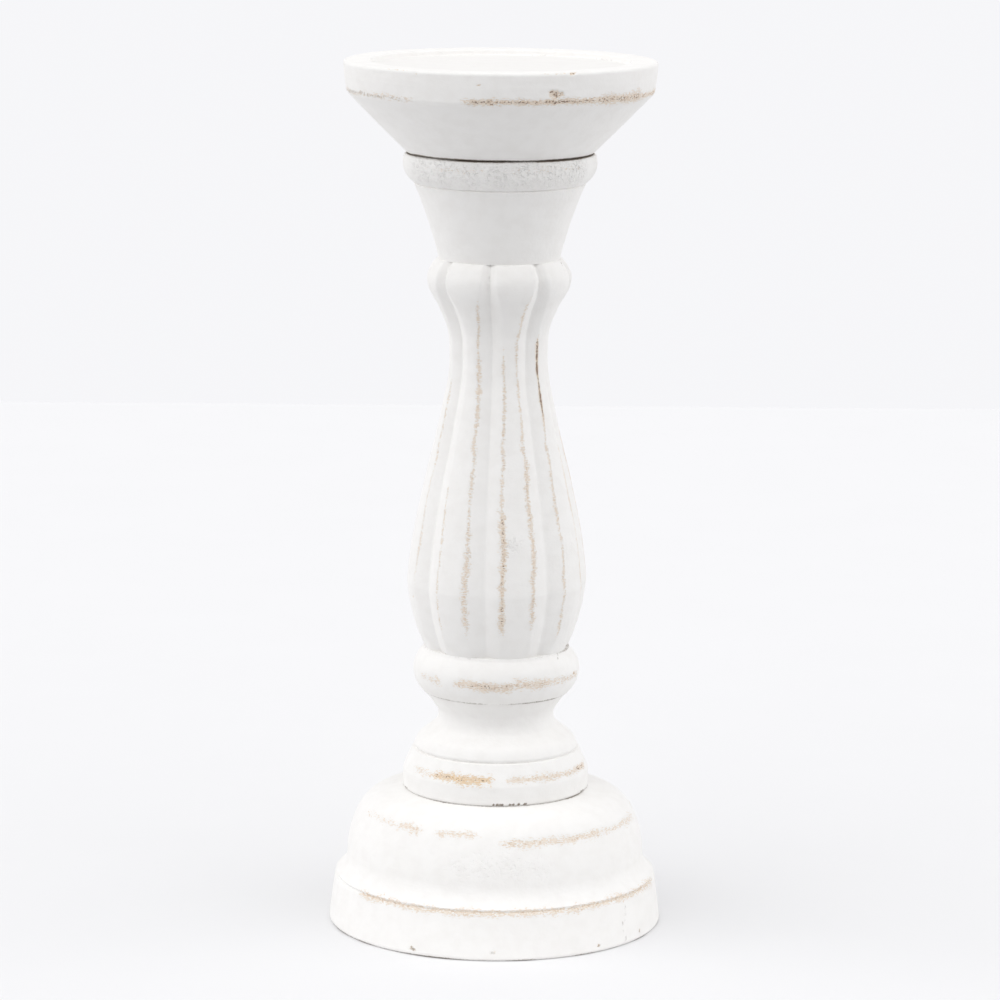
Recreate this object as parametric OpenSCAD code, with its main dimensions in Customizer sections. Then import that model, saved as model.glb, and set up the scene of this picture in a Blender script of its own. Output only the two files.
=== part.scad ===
// Turned and fluted wooden candlestick, standing on +Z.
// The origin is the centre of the foot, and every turned piece shares the Z axis.

/* [Overall] */
// Height of the whole candlestick
total_h = 300; // [290:1:320]
// Radius of the foot, the widest part
foot_r = 57.8; // [57:0.1:60]

/* [Plinth] */
// Height of the bell-shaped plinth
plinth_h = 47.5; // [47.5:0.5:50]
// Radius of the ledge above the foot band
ledge_r = 56; // [55.6:0.1:56.5]
// Height of the ledge
ledge_z = 16.4; // [16.2:0.1:17]

/* [Lower stem] */
// Height of the stem piece with the drum, neck and bead
stem_h = 50; // [50:1:54]
// Radius of its drum
drum_r = 32.1; // [31.8:0.1:32.5]
// Radius of its neck
neck_r = 19.9; // [19:0.1:20.5]
// Radius of the bead above the neck
bead_r = 28.7; // [28:0.1:29.5]

/* [Fluted body] */
// Height of the fluted body
body_h = 135; // [130:1:145]
// Number of ribs
rib_count = 8; // [6:1:10]
// Turn of the first rib about the axis, in degrees
rib_phase = 14; // [0:1:44]
// Depth of a groove, as a share of the radius
groove_share = 0.07; // [0.04:0.01:0.14]

/* [Capital] */
// Height of the capital
capital_h = 36.5; // [36:0.5:38]
// Radius of the capital's foot
capital_foot_r = 20.8; // [20:0.1:22]
// Radius of the bead round the capital's top
capital_bead_r = 33.2; // [33:0.1:34]

/* [Candle dish] */
// Radius of the rim
rim_r = 53.5; // [52:0.5:56]
// Height of the band under the rim
rim_band_h = 10.5; // [8:0.5:12]
// Radius of the hollow that the candle stands in
hollow_r = 44; // [40:1:46]
// Depth of that hollow
hollow_depth = 2; // [1.5:0.5:4]

/* [Joinery] */
// Diameter of the glued dowels
dowel_d = 16; // [12:1:18]
// Radial room for glue round a dowel
glue_room = 0.05; // [0.02:0.01:0.1]
// Diameter of the screw that holds the plinth
screw_d = 6; // [5:0.5:6]

/* [Hidden] */
$fn = 96;

paint = "#F2EFE9";
bare_beech = "#C9A06C";
zinc = "#B9BCC0";
felt_brown = "#4A3B30";

// Heights at which the pieces meet
stem_z = plinth_h;
body_z = stem_z + stem_h;
capital_z = body_z + body_h;
dish_z = capital_z + capital_h;
dish_h = total_h - dish_z;

// Underside: felt disc, screw head and washer
felt_t = 1.5;
felt_r = 46;
felt_room = 0.3;
counterbore_r = 11;
counterbore_z = 14;
washer_r = 9.5;
washer_t = 1.6;
head_r = 5.8;
head_h = 4;
head_socket_r = 2.3;
head_socket_depth = 2.4;
screw_len = 60;
screw_point = 6;
thread_len = 38;
thread_pitch = 2.4;
thread_core = 0.68;
ridge_at = 0.35;
ridge_h = 0.7;
shank_room = 0.5;
washer_room = 0.3;
pilot_depth = 26;

// Sockets for the dowels, each one deeper than its dowel by the end gap
end_gap = 1;
stem_socket = 20;
body_low_socket = 20;
body_top_socket = 20;
capital_low_socket = 14.5;
capital_top_socket = 18;
dish_socket = 16;
dowel_chamfer = 1;

// Points on an arc about [x, y], from angle a to angle b
function arc(c, r, a, b, n = 8) =
    [for (i = [0:n]) let (t = a + (b - a) * i / n) [c[0] + r * cos(t), c[1] + r * sin(t)]];

// A slack line from p to q, hollowed towards the axis by sag
function hollow_line(p, q, sag, n = 8) = [for (i = [0:n]) let (t = i / n)
    [p[0] + (q[0] - p[0]) * t - 4 * sag * t * (1 - t), p[1] + (q[1] - p[1]) * t]];

// Smooth curve through knots [z, radius]: value at height z
function slope(k, i) =
    let (after = k[min(i + 1, len(k) - 1)], before = k[max(i - 1, 0)])
    (after[1] - before[1]) / (after[0] - before[0]);
function span(k, z, i = 0) = (i >= len(k) - 2 || z <= k[i + 1][0]) ? i : span(k, z, i + 1);
function smooth_at(k, z) =
    let (i = span(k, z), h = k[i + 1][0] - k[i][0], t = (z - k[i][0]) / h)
    k[i][1] * (1 + 2 * t) * (1 - t) * (1 - t) + k[i + 1][1] * t * t * (3 - 2 * t)
    + h * slope(k, i) * t * (1 - t) * (1 - t) - h * slope(k, i + 1) * t * t * (1 - t);

// ---- plinth: foot band, ledge, cove and bell ----
cove_c = [60, 24.5];
cove_r = 8.5;
bell_c = [20.5, 24.5];
bell_r = 31;
shoulder_c = [36.25, 33.25];
shoulder_r = 13;
shoulder_turn = 29;
edge_r = 1.2;

function plinth_outline() = concat(
    [[0, 0]],
    arc([foot_r - edge_r, edge_r], edge_r, -90, 0, 4),
    arc([ledge_r - edge_r, ledge_z - edge_r], edge_r, 5, 75, 4),
    arc(cove_c, cove_r, 238, 180),
    arc(bell_c, bell_r, 2, shoulder_turn),
    arc(shoulder_c, shoulder_r, shoulder_turn + 3, 80),
    [[drum_r - 1, plinth_h], [0, plinth_h]]);

module plinth() color(paint) difference() {
    rotate_extrude() polygon(plinth_outline());
    translate([0, 0, -1]) cylinder(r = felt_r, h = felt_t + 1);
    translate([0, 0, -1]) cylinder(r = counterbore_r, h = counterbore_z + 1);
    cylinder(r = screw_d / 2 + shank_room, h = plinth_h + 1);
}

module base_felt() color(felt_brown) cylinder(r = felt_r - felt_room, h = felt_t);

// ---- screw and washer that hold the plinth to the stem ----
head_z = counterbore_z - washer_t;

module screw_washer() color(zinc) translate([0, 0, head_z]) difference() {
    cylinder(r = washer_r, h = washer_t);
    translate([0, 0, -1]) cylinder(r = screw_d / 2 + washer_room, h = washer_t + 2);
}

screw_r = screw_d / 2;
core_r = screw_r * thread_core;
point_r = 0.4;

module thread_ring(z) translate([0, 0, z]) rotate_extrude()
    polygon([[0, 0], [core_r, 0], [screw_r, thread_pitch * ridge_at],
             [core_r, thread_pitch * ridge_h], [0, thread_pitch * ridge_h]]);

module base_screw() color(zinc) difference() {
    union() {
        translate([0, 0, head_z - head_h]) cylinder(r = head_r, h = head_h);
        translate([0, 0, head_z]) cylinder(r = screw_r, h = screw_len - thread_len);
        translate([0, 0, head_z]) cylinder(r = core_r, h = screw_len - screw_point);
        for (i = [0 : floor((thread_len - screw_point) / thread_pitch) - 1])
            thread_ring(head_z + screw_len - thread_len + i * thread_pitch);
        translate([0, 0, head_z + screw_len - screw_point])
            cylinder(r1 = core_r, r2 = point_r, h = screw_point);
    }
    translate([0, 0, head_z - head_h - 1]) cylinder(r = head_socket_r, h = head_socket_depth + 1);
}

// ---- lower stem: drum, ovolo shoulder, neck and bead ----
neck_cove_r = 5;
neck_z = stem_z + 25.8;
ovolo_r = 9;
bead_turn_r = 9.7;
bead_z = stem_z + 41.8;

function stem_outline() = concat(
    [[0, stem_z], [drum_r - 0.5, stem_z], [drum_r, stem_z + 0.5], [drum_r, stem_z + 6.5]],
    [[drum_r - 0.8, stem_z + 8.7], [drum_r - 3.2, stem_z + 14], [drum_r - 3.8, stem_z + 14.3]],
    arc([drum_r - 12.4, stem_z + 12.4], ovolo_r, 16, 42, 5),
    arc([neck_r + neck_cove_r, neck_z], neck_cove_r, 225, 140),
    [[bead_r - 3.6, bead_z - 7.9]],
    arc([bead_r - bead_turn_r, bead_z], bead_turn_r, -46, 48, 12),
    [[bead_r - 3.7, body_z], [0, body_z]]);

module socket(z, depth) translate([0, 0, z]) cylinder(r = dowel_d / 2 + glue_room, h = depth);

module lower_stem() color(paint) difference() {
    rotate_extrude() polygon(stem_outline());
    socket(body_z - stem_socket, stem_socket + 1);
    translate([0, 0, stem_z - 1]) cylinder(r = screw_r + glue_room, h = pilot_depth + 1);
}

// ---- dowels: each stands on the floor of its lower socket ----
module dowel(z, length) color(bare_beech) translate([0, 0, z]) rotate_extrude()
    polygon([[0, 0], [dowel_d / 2 - dowel_chamfer, 0], [dowel_d / 2, dowel_chamfer],
             [dowel_d / 2, length - dowel_chamfer], [dowel_d / 2 - dowel_chamfer, length], [0, length]]);

module body_dowel() dowel(body_z - stem_socket, stem_socket + body_low_socket - end_gap);
module capital_dowel() dowel(capital_z - body_top_socket, body_top_socket + capital_low_socket - end_gap);
module dish_dowel() dowel(dish_z - capital_top_socket, capital_top_socket + dish_socket - end_gap);

// ---- fluted body: ribs between V grooves, full length ----
// Rib radius at shares of the body's height, from the bead up
rib_knots = [[0, 25], [0.04, 27.3], [0.1, 29.8], [0.16, 30.9], [0.22, 30.6], [0.3, 29], [0.42, 25.7],
             [0.55, 21.5], [0.66, 18.3], [0.75, 16.9], [0.82, 17.7], [0.88, 20.9], [0.92, 23.9],
             [0.955, 24.8], [0.985, 23.2], [1, 21.5]];
rib_face = 10;
rib_edge = 0.995;
flank_fullness = 0.006;
lobe_face = 16;
lobe_from = 0.88;
lobe_full = 0.94;
rings = 36;

// Half the angle that a rib's face spans, wider on the lobes at the top
function face_angle(t) =
    let (k = min(1, max(0, (t - lobe_from) / (lobe_full - lobe_from))))
    rib_face + (lobe_face - rib_face) * k * k * (3 - 2 * k);

// One ring: for each rib a groove, a flank, the face and the other flank
function rib_ring(t) =
    let (r = smooth_at(rib_knots, t), g = r * (1 - groove_share), half = 180 / rib_count,
         f = min(face_angle(t), half - 2), m = (f + half) / 2, mr = (r + g) / 2 + r * flank_fullness,
         e = r * rib_edge)
    [for (i = [0 : rib_count - 1]) let (a = rib_phase + i * 360 / rib_count)
        each [for (p = [[-half, g], [-m, mr], [-f, e], [-f / 2, r], [0, r], [f / 2, r], [f, e], [m, mr]])
            [p[1] * cos(a + p[0]), p[1] * sin(a + p[0]), body_z + t * body_h]]];

module ribbed_solid() {
    n = len(rib_ring(0));
    points = [for (j = [0 : rings]) each rib_ring(j / rings)];
    sides = [for (j = [0 : rings - 1]) for (i = [0 : n - 1])
        let (a = j * n + i, b = j * n + (i + 1) % n) each [[a, a + n, b + n], [a, b + n, b]]];
    ends = [[for (i = [0 : n - 1]) i], [for (i = [n - 1 : -1 : 0]) rings * n + i]];
    polyhedron(points, concat(ends, sides));
}

module fluted_body() color(paint) difference() {
    ribbed_solid();
    socket(body_z - 1, body_low_socket + 1);
    socket(capital_z - body_top_socket, body_top_socket + 1);
}

// ---- capital: tapering cup with a bead round its top ----
capital_bead_turn = 7.5;
capital_bead_z = dish_z - 3.7;
cup_top_r = 29.3;

function capital_outline() = concat(
    [[0, capital_z]],
    hollow_line([capital_foot_r, capital_z], [cup_top_r, dish_z - 11], 0.65),
    [[cup_top_r + 0.4, dish_z - 10.2]],
    arc([capital_bead_r - capital_bead_turn, capital_bead_z], capital_bead_turn, -53, 22, 10),
    [[capital_bead_r - 1.4, dish_z], [0, dish_z]]);

module capital() color(paint) difference() {
    rotate_extrude() polygon(capital_outline());
    socket(capital_z - 1, capital_low_socket + 1);
    socket(dish_z - capital_top_socket, capital_top_socket + 1);
}

// ---- candle dish: cone, upright rim band and a shallow hollow ----
dish_foot_r = 32;
band_low_r = rim_r - 1.1;
rim_edge = 1;
hollow_edge = 0.8;

function dish_outline() = concat(
    [[0, dish_z], [dish_foot_r, dish_z], [band_low_r - 0.6, total_h - rim_band_h - 0.6]],
    [[band_low_r, total_h - rim_band_h + 0.4]],
    arc([rim_r - rim_edge, total_h - rim_edge], rim_edge, 5, 90, 4),
    arc([hollow_r + hollow_edge, total_h - hollow_edge], hollow_edge, 90, 180, 4),
    arc([hollow_r - hollow_edge, total_h - hollow_depth + hollow_edge], hollow_edge, 0, -90, 4),
    [[0, total_h - hollow_depth]]);

module candle_dish() color(paint) difference() {
    rotate_extrude() polygon(dish_outline());
    socket(dish_z - 1, dish_socket + 1);
}

plinth();
base_felt();
base_screw();
screw_washer();
lower_stem();
body_dowel();
fluted_body();
capital_dowel();
capital();
dish_dowel();
candle_dish();
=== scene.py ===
"""Visual model of a turned and fluted wooden candlestick in chalk white paint, worn through on its edges."""

import math

import bpy
import numpy as np
from bpy.props import FloatProperty, FloatVectorProperty, IntProperty, PointerProperty
from mathutils import Matrix, Vector


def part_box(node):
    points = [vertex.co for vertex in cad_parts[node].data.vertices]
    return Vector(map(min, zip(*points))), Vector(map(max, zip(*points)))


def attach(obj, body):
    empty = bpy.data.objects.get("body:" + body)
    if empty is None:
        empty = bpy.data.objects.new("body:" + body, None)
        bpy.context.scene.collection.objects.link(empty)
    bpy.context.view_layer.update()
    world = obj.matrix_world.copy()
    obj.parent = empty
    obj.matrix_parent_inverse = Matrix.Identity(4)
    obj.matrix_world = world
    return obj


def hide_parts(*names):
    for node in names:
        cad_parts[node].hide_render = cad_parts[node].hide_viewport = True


bl_info = {
    "name": "Worn White Candlestick",
    "version": (1, 0, 0),
    "blender": (4, 5, 0),
    "location": "3D View > Sidebar > Candlestick",
    "description": "Builds a turned and fluted candlestick in worn white paint around its packed frame",
    "category": "Add Mesh",
}

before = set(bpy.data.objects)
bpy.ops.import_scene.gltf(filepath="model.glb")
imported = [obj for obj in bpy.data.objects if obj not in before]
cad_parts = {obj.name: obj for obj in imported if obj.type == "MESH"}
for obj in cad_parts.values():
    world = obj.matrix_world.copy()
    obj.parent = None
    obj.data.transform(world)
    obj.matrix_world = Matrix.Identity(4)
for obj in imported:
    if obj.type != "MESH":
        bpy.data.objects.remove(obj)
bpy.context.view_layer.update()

MM = 0.001
TURN = 360.0
BODY = "root"

# ---- sizes read from the frame, in millimetres


def heights(node):
    """Lowest and highest point of a CAD node, in millimetres."""
    low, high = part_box(node)
    return low.z / MM, high.z / MM


def radius(node):
    """Outer radius of a CAD node, in millimetres."""
    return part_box(node)[1].x / MM


PLINTH_Z, STEM_Z = heights("plinth")
BODY_Z = heights("lower_stem")[1]
CAPITAL_Z = heights("fluted_body")[1]
DISH_Z, TOP_Z = heights("candle_dish")
SOCKET_R = radius("body_dowel") + 0.05

# Radius of the true flat round each of the body's sockets
BODY_END_R = 15
# Depths of the dowel sockets, and the screw's holes as (radius, depth)
DISH_SOCKET, CAPITAL_FOOT_SOCKET, CAPITAL_TOP_SOCKET, BODY_SOCKET, STEM_SOCKET = 16, 14.5, 18, 20, 20
PILOT_R, PILOT_DEPTH = 3.05, 26
SCREW_HOLE_R, WASHER_SEAT_R, WASHER_SEAT_Z = 3.5, 11, 14
# Radius and depth of the recess for the felt
RECESS_R, RECESS_DEPTH = 46, 1.5

# Dish: how much the band narrows downwards, its height, and the hollow's depth and radius
RIM_TAPER, BAND_HEIGHT, HOLLOW_DEPTH, HOLLOW_R = 1.1, 10.1, 2, 44


def colour_setting(name, description, default):
    """A colour that a user can change."""
    return FloatVectorProperty(name=name, description=description, subtype="COLOR", default=default)


class TurningSizes(bpy.types.PropertyGroup):
    """How finely the pieces are cut, and how uneven the hand work is."""

    around: IntProperty(name="Facets around", description="Facets round a turned piece", default=320, min=64)
    rib_facets: IntProperty(name="Facets per rib", description="Facets across one rib", default=44, min=16)
    step: FloatProperty(name="Row step", description="Distance between rows of facets, in mm", default=0.55)
    uneven: FloatProperty(name="Unevenness", description="Height of swells in the paint, in mm", default=0.09)
    ribs: IntProperty(name="Ribs", description="Ribs round the fluted body", default=8, min=3)
    rib_turn: FloatProperty(name="Rib turn", description="Angle of the first rib from the front", default=14)
    groove: FloatProperty(name="Groove depth", description="Depth as a share of the radius", default=0.075)


class PaintColours(bpy.types.PropertyGroup):
    """Colours of the paint and of the wood that shows where it is rubbed off."""

    white: colour_setting("Paint", "Chalk white paint", (0.90, 0.89, 0.87))
    cream: colour_setting("Paint shade", "Slightly darker patches", (0.86, 0.845, 0.82))
    rubbed: colour_setting("Rubbed paint", "Paint worn thin", (0.84, 0.755, 0.66))
    tan: colour_setting("Bare wood", "Bare wood at worn edges", (0.70, 0.57, 0.45))
    umber: colour_setting("Dark wood", "Dark grain in bare wood", (0.27, 0.195, 0.15))
    amber: colour_setting("Amber wood", "Warmer bare wood", (0.80, 0.60, 0.38))
    # This colour serves for dirt and cracks, and for painted shade in creases, grooves and joints
    grime: colour_setting("Grime", "Dust in creases and pits", (0.26, 0.22, 0.18))


class StageSettings(bpy.types.PropertyGroup):
    """Floor, light and camera."""

    distance: FloatProperty(name="Distance", description="Camera to object", default=1.534, unit="LENGTH")
    pitch: FloatProperty(
        name="Pitch", description="Camera height angle", default=math.radians(10.36), subtype="ANGLE"
    )
    roll: FloatProperty(name="Roll", description="Camera roll", default=math.radians(0.45), subtype="ANGLE")
    lens: FloatProperty(name="Lens", description="Focal length in mm", default=160.0)
    zenith: FloatProperty(name="Overhead", description="Brightness overhead, as a share", default=0.5)
    softness: FloatProperty(
        name="Softness", description="Spread of the lights", default=math.radians(75), subtype="ANGLE"
    )
    backdrop: colour_setting("Backdrop", "Colour behind the floor", (0.925, 0.925, 0.945))
    floor: colour_setting("Floor", "Floor colour", (0.85, 0.85, 0.855))


# ---- outlines: lists of (radius, height) in mm


def arc(centre, size, start, end, count=10):
    """Points on an arc, from one angle to another, in degrees."""
    turns = np.radians(np.linspace(start, end, count + 1))
    return [(centre[0] + size * math.cos(t), centre[1] + size * math.sin(t)) for t in turns]


def hollowed(low, high, sag, count=12):
    """A line from low to high, hollowed towards the axis by sag."""
    shares = np.linspace(0, 1, count + 1)
    across, up = high[0] - low[0], high[1] - low[1]
    return [(low[0] + across * t - 4 * sag * t * (1 - t), low[1] + up * t) for t in shares]


def walk(outline, step):
    """The outline with points added, so that none is further from the next than step."""
    points = [outline[0]]
    for a, b in zip(outline[:-1], outline[1:]):
        across, up = b[0] - a[0], b[1] - a[1]
        cuts = max(1, math.ceil(math.hypot(across, up) / step))
        points += [(a[0] + across * k / cuts, a[1] + up * k / cuts) for k in range(1, cuts + 1)]
    return points


# ---- uneven surfaces


def corner_value(x, y, z, seed):
    """A fixed number from -1 to 1 for each corner of a grid of cells."""
    n = (x * 73856093 ^ y * 19349663 ^ z * 83492791 ^ seed * 2654435761) & 0xFFFFFFFF
    n = ((n ^ (n >> 15)) * 2246822519) & 0xFFFFFFFF
    n = ((n ^ (n >> 13)) * 3266489917) & 0xFFFFFFFF
    return ((n ^ (n >> 16)) & 0xFFFFFF) / 0x7FFFFF - 1.0


def lumps(points, size, seed):
    """Smooth lumps of about one size, from -1 to 1, at each point."""
    cell = np.floor(points / size)
    f = points / size - cell
    f = f * f * (3 - 2 * f)
    x, y, z = cell.astype(np.int64).T
    total = np.zeros(len(points))
    for dx in (0, 1):
        for dy in (0, 1):
            for dz in (0, 1):
                weight = (
                    np.abs(1 - dx - f[:, 0]) * np.abs(1 - dy - f[:, 1]) * np.abs(1 - dz - f[:, 2])
                )
                total += weight * corner_value(x + dx, y + dy, z + dz, seed)
    return total


def hand_finish(points, amount, seed):
    """Swells and dips of brushed paint over turned wood, in mm."""
    streaks = points * (0.2, 0.2, 1.0)
    return amount * (
        0.9 * lumps(points, 17.0, seed)
        + 0.6 * lumps(streaks, 1.9, seed + 1)
        + 0.4 * lumps(points, 3.1, seed + 2)
        + 0.25 * lumps(points, 1.3, seed + 3)
    )


def gate(value, low, high, soft):
    """1 between low and high, falling to 0 over a soft margin on each side."""
    rise = np.clip((value - low) / soft + 0.5, 0, 1)
    fall = np.clip((high - value) / soft + 0.5, 0, 1)
    return rise * rise * (3 - 2 * rise) * fall * fall * (3 - 2 * fall)


def wrapped(angle):
    """An angle brought between -180 and 180 degrees."""
    return (angle + TURN / 2) % TURN - TURN / 2


def spot_distance(points, spot):
    """Distance of each point from a spot given as (angle from the front, radius, height)."""
    turn = math.radians(spot[0])
    centre = np.array([spot[1] * math.sin(turn), -spot[1] * math.cos(turn), spot[2]])
    return np.linalg.norm(points - centre, axis=1)


# What a piece's points store for the paint to show: rubbed, crackled, dirt and painted shade, more orange
# wood, painted shade in a hollow
PAINT_FIELDS = ("worn", "crackled", "grimy", "warm", "dull")
# How softly a rubbed ring ends, in degrees, and a rubbed rib edge, in mm
RING_END, EDGE_END = 7.0, 9.0
# How far rubbed lines stray, in mm, and how much their width varies
STRAY, RAGGED = 0.35, 0.45
RIB_STRAY, RIB_RAGGED = 0.4, 0.55
# How far a chip and its bare wood reach, in chip sizes, and how worn it is
CHIP_REACH, CHIP_BARE, CHIP_WEAR = 1.4, 1.5, 1.15
# The lifted paint round a chip: its height as a share of the depth, and its place and width in chip sizes
FLAKE_LIFT, FLAKE_RING, FLAKE_WIDTH = 0.3, 1.75, 0.3
# How far a dirt mark reaches, in its own size, and how many make a crack
MARK_REACH, CRACK_MARKS = 1.3, 26
# The mean strength of the painted shade in a crease, and how much it varies
CREASE_MEAN, CREASE_VARIES = 0.62, 0.55


class Surface:
    """The points of one painted piece, with what has happened to its paint."""

    def __init__(self, points, rows, across):
        self.points = points
        self.radius = np.hypot(points[:, 0], points[:, 1])
        self.angle = np.degrees(np.arctan2(points[:, 0], -points[:, 1]))
        self.rows, self.across = rows, across
        self.sunk = np.zeros(len(points))
        for field in PAINT_FIELDS:
            setattr(self, field, np.zeros(len(points)))

    def rub(self, strokes, seed, field="worn"):
        """Rubs the paint along rings, or soils it with field "grimy". A stroke is (radius, height,
        half width, from, to, strength), with the angles in degrees from the front."""
        marks = getattr(self, field)
        wander = STRAY * lumps(self.points, 6.0, seed)
        ragged = 1 + RAGGED * lumps(self.points, 3.5, seed + 1)
        for r, z, width, low, high, strength in strokes:
            away = np.hypot(self.radius - r, self.points[:, 2] - z - wander)
            middle = (low + high) / 2
            turn = wrapped(self.angle - middle)
            along = gate(turn, low - middle, high - middle, RING_END)
            marks = np.maximum(marks, strength * along * np.exp(-((away / (width * ragged)) ** 2)))
        setattr(self, field, marks)

    def chip(self, spots):
        """Knocks paint off in small spots. A spot is (angle, radius, height, size, depth)."""
        for angle, r, z, size, depth in spots:
            away = spot_distance(self.points, (angle, r, z)) / size
            away = away * (1 + 0.35 * lumps(self.points, size * 0.8, int(angle) + 400))
            flake = FLAKE_LIFT * np.exp(-(((away - FLAKE_RING) / FLAKE_WIDTH) ** 2))
            self.sunk += depth * (np.clip(CHIP_REACH - away, 0, 1) - flake)
            self.worn = np.maximum(self.worn, CHIP_WEAR * np.clip(CHIP_BARE - away, 0, 1))

    def soil(self, marks):
        """Dirt in small marks. A mark is (angle, radius, height, size, strength)."""
        for angle, r, z, size, strength in marks:
            away = spot_distance(self.points, (angle, r, z)) / size
            self.grimy = np.maximum(self.grimy, strength * np.clip(MARK_REACH - away, 0, 1))

    def crack(self, start, end, size, strength):
        """A hairline crack with a kink or two, between two points given as (angle, radius, height)."""
        for share in np.linspace(0, 1, CRACK_MARKS):
            spot = np.array(start) + (np.array(end) - start) * share
            spot[0] += 0.7 * math.sin(9 * share) + 0.3 * math.sin(23 * share)
            self.soil([(*spot, size, strength * (0.75 + 0.25 * math.sin(31 * share)))])

    def crease(self, rings, seed):
        """Painted shade along rings, patchy. A ring is (radius, height, half width, strength)."""
        patchy = CREASE_MEAN + CREASE_VARIES * lumps(self.points, 9.0, seed)
        for r, z, width, strength in rings:
            away = np.hypot(self.radius - r, self.points[:, 2] - z) / width
            self.grimy = np.maximum(self.grimy, strength * patchy * np.exp(-(away**2)))

    def crackle(self, patches):
        """Cracked paint in patches. A patch is (angle, radius, height, size, strength)."""
        for angle, r, z, size, strength in patches:
            away = spot_distance(self.points, (angle, r, z)) / size
            self.crackled = np.maximum(self.crackled, strength * np.exp(-(away**2)))


# ---- meshes


SHARP = math.radians(50)
# Depth of the pits in crackled paint, and how far from a meeting face the unevenness fades, in mm
PIT_DEPTH, MEETING_MARGIN = 0.24, 1.2


def ring_faces(rows, around, closed):
    """Quads between rows of a turned shape, and triangles to the poles unless it is closed on itself."""
    i = np.arange(around)
    after = (i + 1) % around
    quads = []
    last = rows if closed else rows - 1
    for j in range(last):
        a, b = j * around, ((j + 1) % rows) * around
        quads.append(np.stack([a + i, a + after, b + after, b + i], 1))
    quads = np.concatenate(quads)
    if closed:
        return quads, np.zeros((0, 3), int)
    low, high, top = rows * around, rows * around + 1, (rows - 1) * around
    bottom_cap = np.stack([np.full(around, low), after, i], 1)
    top_cap = np.stack([top + i, top + after, np.full(around, high)], 1)
    return quads, np.concatenate([bottom_cap, top_cap])


def make_mesh(name, points, quads, caps):
    """A smooth-shaded mesh from points in millimetres."""
    mesh = bpy.data.meshes.new(name)
    mesh.vertices.add(len(points))
    mesh.vertices.foreach_set("co", (points * MM).astype(np.float32).ravel())
    mesh.loops.add(quads.size + caps.size)
    mesh.loops.foreach_set("vertex_index", np.concatenate([quads.ravel(), caps.ravel()]).astype(np.int32))
    starts = np.concatenate([np.arange(len(quads)) * 4, quads.size + np.arange(len(caps)) * 3])
    mesh.polygons.add(len(starts))
    mesh.polygons.foreach_set("loop_start", starts.astype(np.int32))
    mesh.update(calc_edges=True)
    mesh.validate()
    mesh.shade_smooth()
    mesh.set_sharp_from_angle(angle=SHARP)
    piece = bpy.data.objects.new(name, mesh)
    bpy.context.scene.collection.objects.link(piece)
    return piece


def painted_piece(name, node, surface, closed, material):
    """Makes the piece from its surface, stores what its paint shows, and stands it in for the CAD node."""
    quads, caps = ring_faces(surface.rows, surface.across, closed)
    piece = make_mesh(name, surface.points, quads, caps)
    for field in PAINT_FIELDS:
        values = piece.data.attributes.new(field, "FLOAT", "POINT")
        values.data.foreach_set("value", getattr(surface, field).astype(np.float32))
    piece.data.materials.append(material)
    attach(piece, BODY)
    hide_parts(node)
    return piece


def turned_surface(outline, around):
    """The surface of a turned shape, and the direction out of it at each point. An outline that starts and
    ends on the axis gets a pole at each end, and any other outline closes on itself."""
    outline = np.array(outline)
    closed = outline[0][0] > 0
    rings = outline if closed else outline[1:-1]
    ahead = np.roll(rings, -1, 0) - np.roll(rings, 1, 0)
    if not closed:
        ahead[0] = rings[1] - rings[0]
        ahead[-1] = rings[-1] - rings[-2]
    ahead /= np.linalg.norm(ahead, axis=1)[:, None]
    turn = np.arange(around) * 2 * math.pi / around
    sine, cosine = np.sin(turn), -np.cos(turn)
    points = np.stack(
        [np.outer(rings[:, 0], sine), np.outer(rings[:, 0], cosine), np.repeat(rings[:, 1:], around, 1)], 2
    ).reshape(-1, 3)
    out = np.stack(
        [np.outer(ahead[:, 1], sine), np.outer(ahead[:, 1], cosine), np.repeat(-ahead[:, :1], around, 1)], 2
    ).reshape(-1, 3)
    if not closed:
        points = np.concatenate([points, [[0, 0, outline[0][1]], [0, 0, outline[-1][1]]]])
        out = np.concatenate([out, [[0, 0, -1], [0, 0, 1]]])
    return Surface(points, len(rings), around), out, closed


def finish_by_hand(surface, out, low, high, hole, amount, seed):
    """Moves the surface by its chips and by the unevenness of the paint. The faces that meet another piece,
    at heights low and high, and the holes inside radius hole stay true."""
    z = surface.points[:, 2]
    from_ends = np.clip((z - low) / MEETING_MARGIN, 0, 1) * np.clip((high - z) / MEETING_MARGIN, 0, 1)
    loose = from_ends * (surface.radius > hole)
    pits = PIT_DEPTH * surface.crackled * np.clip(lumps(surface.points, 1.4, seed + 9), 0, 1)
    move = hand_finish(surface.points, amount, seed) * loose - surface.sunk - pits * loose
    surface.points = surface.points + out * move[:, None]


# Degrees of the back over which invented wear is spread
BEHIND = 170


def wear_behind(r, z, width, seed, count=5):
    """Strokes of wear on the side away from the front: the same kind as in front, at set places."""
    chance = np.random.default_rng(seed)
    spread = np.arange(count) - (count - 1) / 2
    middles = TURN / 2 + spread * BEHIND / count + chance.uniform(-12, 12, count)
    spans = chance.uniform(12, 34, count)
    depths = chance.uniform(0.45, 1.0, count)
    return [(r, z, width, m - s / 2, m + s / 2, d) for m, s, d in zip(middles, spans, depths)]


# ---- materials


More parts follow.
